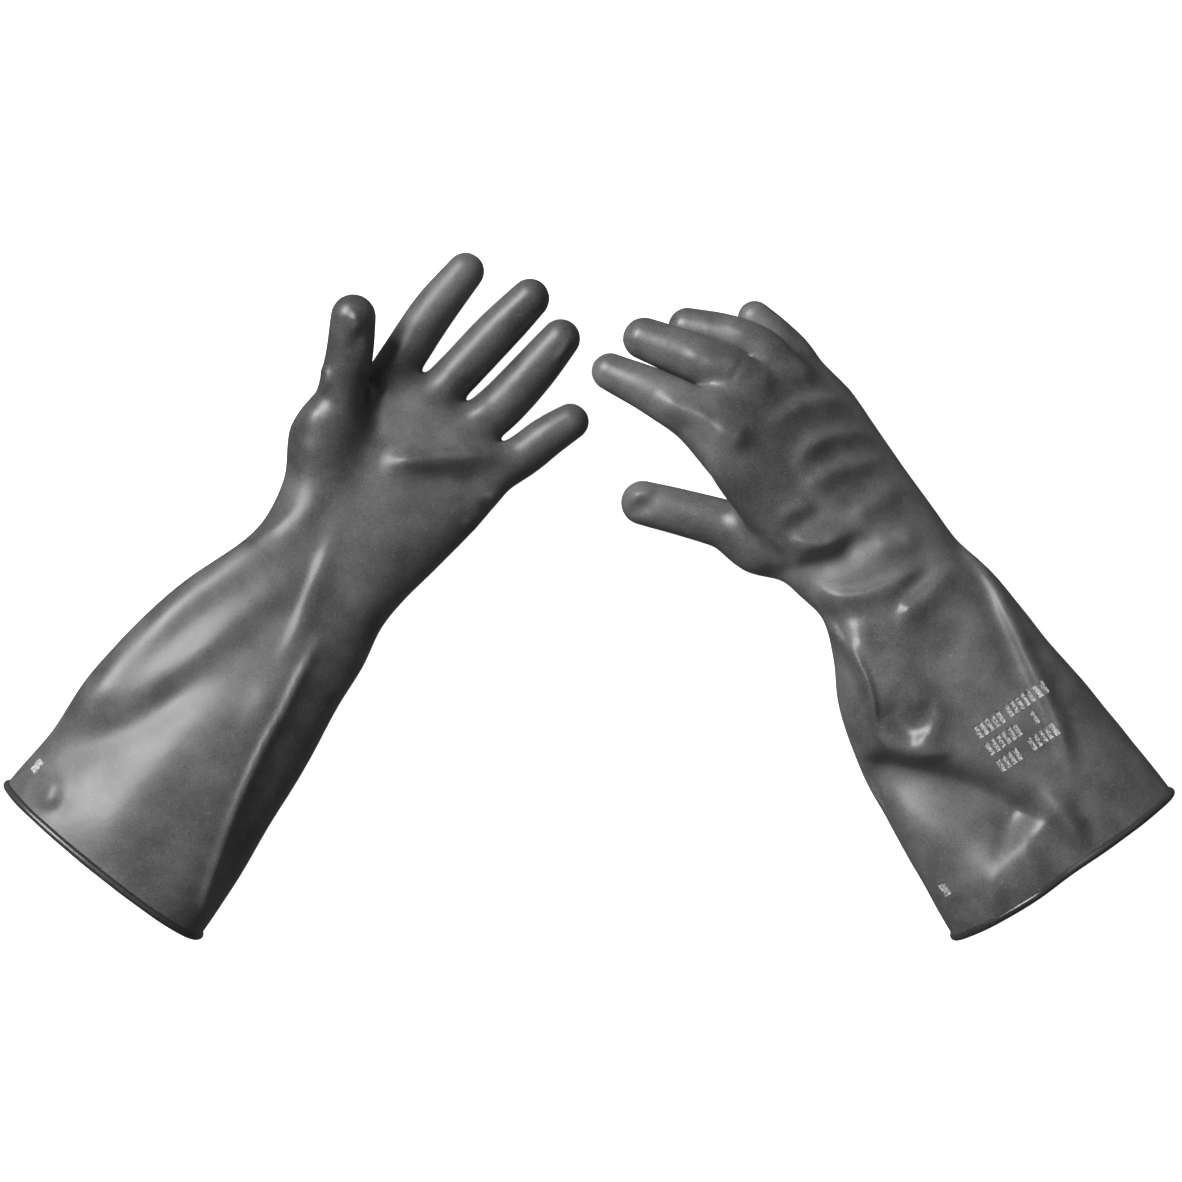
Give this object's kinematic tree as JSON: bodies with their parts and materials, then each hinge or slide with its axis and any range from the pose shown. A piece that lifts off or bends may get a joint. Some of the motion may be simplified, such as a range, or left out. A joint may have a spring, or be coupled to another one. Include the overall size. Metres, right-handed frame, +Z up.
{
  "type": "insulating gauntlet gloves",
  "caption": "Pair of long dipped-rubber gauntlets for live electrical work, one lying palm up and one back up, with hinged wrists, thumbs and fingers, open cuffs and rolled rims.",
  "frame": {"origin": "middle of the pair's footprint, on the surface that the gloves lie on", "axes": "+X across the pair from the left glove to the right one, +Y towards the fingertips, +Z up from the table"},
  "size_m": [0.6633, 0.3881, 0.0777],
  "materials": {
    "left_rubber": "dark grey dipped rubber, semi-gloss, with a faint dusty grain",
    "right_rubber": "dark grey dipped rubber, semi-gloss, with a dusty bloom",
    "rim_rubber": "smooth black rolled rim, a little glossier than the skin",
    "print_ink": "pale grey stamped ink, thin and slightly worn"
  },
  "bodies": {
    "left_cuff": {"left_gauntlet": "left_rubber", "left_cuff_bead": "rim_rubber", "left_wrist_flex": "left_rubber", "left_size_mark": "print_ink"},
    "left_palm": {"left_hand": "left_rubber", "left_thumb_knuckle_flex": "left_rubber", "left_index_knuckle_flex": "left_rubber", "left_middle_knuckle_flex": "left_rubber", "left_ring_knuckle_flex": "left_rubber", "left_little_knuckle_flex": "left_rubber"},
    "left_thumb_near": {"left_thumb_base": "left_rubber", "left_thumb_mid_flex": "left_rubber"},
    "left_thumb_far": {"left_thumb_tip": "left_rubber"},
    "left_index_near": {"left_index_base": "left_rubber", "left_index_mid_flex": "left_rubber"},
    "left_index_far": {"left_index_tip": "left_rubber"},
    "left_middle_near": {"left_middle_base": "left_rubber", "left_middle_mid_flex": "left_rubber"},
    "left_middle_far": {"left_middle_tip": "left_rubber"},
    "left_ring_near": {"left_ring_base": "left_rubber", "left_ring_mid_flex": "left_rubber"},
    "left_ring_far": {"left_ring_tip": "left_rubber"},
    "left_little_near": {"left_little_base": "left_rubber", "left_little_mid_flex": "left_rubber"},
    "left_little_far": {"left_little_tip": "left_rubber"},
    "right_cuff": {"right_gauntlet": "right_rubber", "right_cuff_bead": "rim_rubber", "right_wrist_flex": "right_rubber", "right_size_mark": "print_ink", "right_label_bars": "print_ink"},
    "right_palm": {"right_hand": "right_rubber", "right_thumb_knuckle_flex": "right_rubber", "right_index_knuckle_flex": "right_rubber", "right_middle_knuckle_flex": "right_rubber", "right_ring_knuckle_flex": "right_rubber", "right_little_knuckle_flex": "right_rubber"},
    "right_thumb_near": {"right_thumb_base": "right_rubber", "right_thumb_mid_flex": "right_rubber"},
    "right_thumb_far": {"right_thumb_tip": "right_rubber"},
    "right_index_near": {"right_index_base": "right_rubber", "right_index_mid_flex": "right_rubber"},
    "right_index_far": {"right_index_tip": "right_rubber"},
    "right_middle_near": {"right_middle_base": "right_rubber", "right_middle_mid_flex": "right_rubber"},
    "right_middle_far": {"right_middle_tip": "right_rubber"},
    "right_ring_near": {"right_ring_base": "right_rubber", "right_ring_mid_flex": "right_rubber"},
    "right_ring_far": {"right_ring_tip": "right_rubber"},
    "right_little_near": {"right_little_base": "right_rubber", "right_little_mid_flex": "right_rubber"},
    "right_little_far": {"right_little_tip": "right_rubber"}
  },
  "joints": [
    {"name": "left_wrist", "type": "hinge", "parent": "left_cuff", "child": "left_palm", "pos_m": [-0.1525, 0.011, 0.025], "axis": [0.7986, -0.6018, 0], "range_deg": [-40, 40], "stiffness_Nm_per_rad": 1, "deforming": ["left_wrist_flex"]},
    {"name": "left_thumb_root", "type": "hinge", "parent": "left_palm", "child": "left_thumb_near", "pos_m": [-0.13947, 0.11137, 0.034], "axis": [-0.5455, -0.2616, 0.7962], "range_deg": [-45, 10], "stiffness_Nm_per_rad": 0.3, "deforming": ["left_thumb_knuckle_flex"]},
    {"name": "left_thumb_mid", "type": "hinge", "parent": "left_thumb_near", "child": "left_thumb_far", "pos_m": [-0.13362, 0.13576, 0.046], "axis": [-0.5455, -0.2616, 0.7962], "range_deg": [-55, 10], "stiffness_Nm_per_rad": 0.15, "deforming": ["left_thumb_mid_flex"]},
    {"name": "left_index_root", "type": "hinge", "parent": "left_palm", "child": "left_index_near", "pos_m": [-0.1012, 0.14388, 0.015], "axis": [0.7986, -0.6018, 0], "range_deg": [-10, 60], "stiffness_Nm_per_rad": 0.2, "deforming": ["left_index_knuckle_flex"]},
    {"name": "left_index_mid", "type": "hinge", "parent": "left_index_near", "child": "left_index_far", "pos_m": [-0.08555, 0.16465, 0.02], "axis": [0.7986, -0.6018, 0], "range_deg": [-10, 70], "stiffness_Nm_per_rad": 0.1, "deforming": ["left_index_mid_flex"]},
    {"name": "left_middle_root", "type": "hinge", "parent": "left_palm", "child": "left_middle_near", "pos_m": [-0.07163, 0.13162, 0.015], "axis": [0.7986, -0.6018, 0], "range_deg": [-10, 60], "stiffness_Nm_per_rad": 0.2, "deforming": ["left_middle_knuckle_flex"]},
    {"name": "left_middle_mid", "type": "hinge", "parent": "left_middle_near", "child": "left_middle_far", "pos_m": [-0.05158, 0.15157, 0.02], "axis": [0.7986, -0.6018, 0], "range_deg": [-10, 70], "stiffness_Nm_per_rad": 0.1, "deforming": ["left_middle_mid_flex"]},
    {"name": "left_ring_root", "type": "hinge", "parent": "left_palm", "child": "left_ring_near", "pos_m": [-0.05147, 0.11017, 0.015], "axis": [0.7986, -0.6018, 0], "range_deg": [-10, 60], "stiffness_Nm_per_rad": 0.2, "deforming": ["left_ring_knuckle_flex"]},
    {"name": "left_ring_mid", "type": "hinge", "parent": "left_ring_near", "child": "left_ring_far", "pos_m": [-0.03384, 0.12693, 0.019], "axis": [0.7986, -0.6018, 0], "range_deg": [-10, 70], "stiffness_Nm_per_rad": 0.1, "deforming": ["left_ring_mid_flex"]},
    {"name": "left_little_root", "type": "hinge", "parent": "left_palm", "child": "left_little_near", "pos_m": [-0.03754, 0.08214, 0.014], "axis": [0.7986, -0.6018, 0], "range_deg": [-10, 45], "stiffness_Nm_per_rad": 0.2, "deforming": ["left_little_knuckle_flex"]},
    {"name": "left_little_mid", "type": "hinge", "parent": "left_little_near", "child": "left_little_far", "pos_m": [-0.02392, 0.09191, 0.017], "axis": [0.7986, -0.6018, 0], "range_deg": [-10, 55], "stiffness_Nm_per_rad": 0.1, "deforming": ["left_little_mid_flex"]},
    {"name": "right_wrist", "type": "hinge", "parent": "right_cuff", "child": "right_palm", "pos_m": [0.169, 0.012, 0.025], "axis": [-0.829, -0.5592, 0], "range_deg": [-40, 40], "stiffness_Nm_per_rad": 1, "deforming": ["right_wrist_flex"]},
    {"name": "right_thumb_root", "type": "hinge", "parent": "right_palm", "child": "right_thumb_near", "pos_m": [0.07842, 0.04257, 0.021], "axis": [0, 0, 1], "range_deg": [-45, 10], "stiffness_Nm_per_rad": 0.3, "deforming": ["right_thumb_knuckle_flex"]},
    {"name": "right_thumb_mid", "type": "hinge", "parent": "right_thumb_near", "child": "right_thumb_far", "pos_m": [0.05453, 0.04938, 0.019], "axis": [0, 0, 1], "range_deg": [-55, 10], "stiffness_Nm_per_rad": 0.15, "deforming": ["right_thumb_mid_flex"]},
    {"name": "right_index_root", "type": "hinge", "parent": "right_palm", "child": "right_index_near", "pos_m": [0.06091, 0.10072, 0.056], "axis": [-0.4682, -0.6295, 0.6201], "range_deg": [-10, 60], "stiffness_Nm_per_rad": 0.2, "deforming": ["right_index_knuckle_flex"]},
    {"name": "right_index_mid", "type": "hinge", "parent": "right_index_near", "child": "right_index_far", "pos_m": [0.03781, 0.1153, 0.051], "axis": [-0.4682, -0.6295, 0.6201], "range_deg": [-10, 70], "stiffness_Nm_per_rad": 0.1, "deforming": ["right_index_mid_flex"]},
    {"name": "right_middle_root", "type": "hinge", "parent": "right_palm", "child": "right_middle_near", "pos_m": [0.08074, 0.12496, 0.049], "axis": [-0.4682, -0.6295, 0.6201], "range_deg": [-10, 60], "stiffness_Nm_per_rad": 0.2, "deforming": ["right_middle_knuckle_flex"]},
    {"name": "right_middle_mid", "type": "hinge", "parent": "right_middle_near", "child": "right_middle_far", "pos_m": [0.05711, 0.13676, 0.045], "axis": [-0.4682, -0.6295, 0.6201], "range_deg": [-10, 70], "stiffness_Nm_per_rad": 0.1, "deforming": ["right_middle_mid_flex"]},
    {"name": "right_ring_root", "type": "hinge", "parent": "right_palm", "child": "right_ring_near", "pos_m": [0.1012, 0.13755, 0.033], "axis": [-0.4682, -0.6295, 0.6201], "range_deg": [-10, 60], "stiffness_Nm_per_rad": 0.2, "deforming": ["right_ring_knuckle_flex"]},
    {"name": "right_ring_mid", "type": "hinge", "parent": "right_ring_near", "child": "right_ring_far", "pos_m": [0.07951, 0.14825, 0.029], "axis": [-0.4682, -0.6295, 0.6201], "range_deg": [-10, 66], "stiffness_Nm_per_rad": 0.1, "deforming": ["right_ring_mid_flex"]},
    {"name": "right_little_root", "type": "hinge", "parent": "right_palm", "child": "right_little_near", "pos_m": [0.1231, 0.13906, 0.013], "axis": [-0.4682, -0.6295, 0.6201], "range_deg": [-10, 45], "stiffness_Nm_per_rad": 0.2, "deforming": ["right_little_knuckle_flex"]},
    {"name": "right_little_mid", "type": "hinge", "parent": "right_little_near", "child": "right_little_far", "pos_m": [0.11167, 0.15064, 0.013], "axis": [-0.4682, -0.6295, 0.6201], "range_deg": [-10, 55], "stiffness_Nm_per_rad": 0.1, "deforming": ["right_little_mid_flex"]},
    {"name": "pair_spread", "type": "slide", "parent": "left_cuff", "child": "right_cuff", "axis": [1, 0, 0], "range_m": [0, 0.25]}
  ]
}
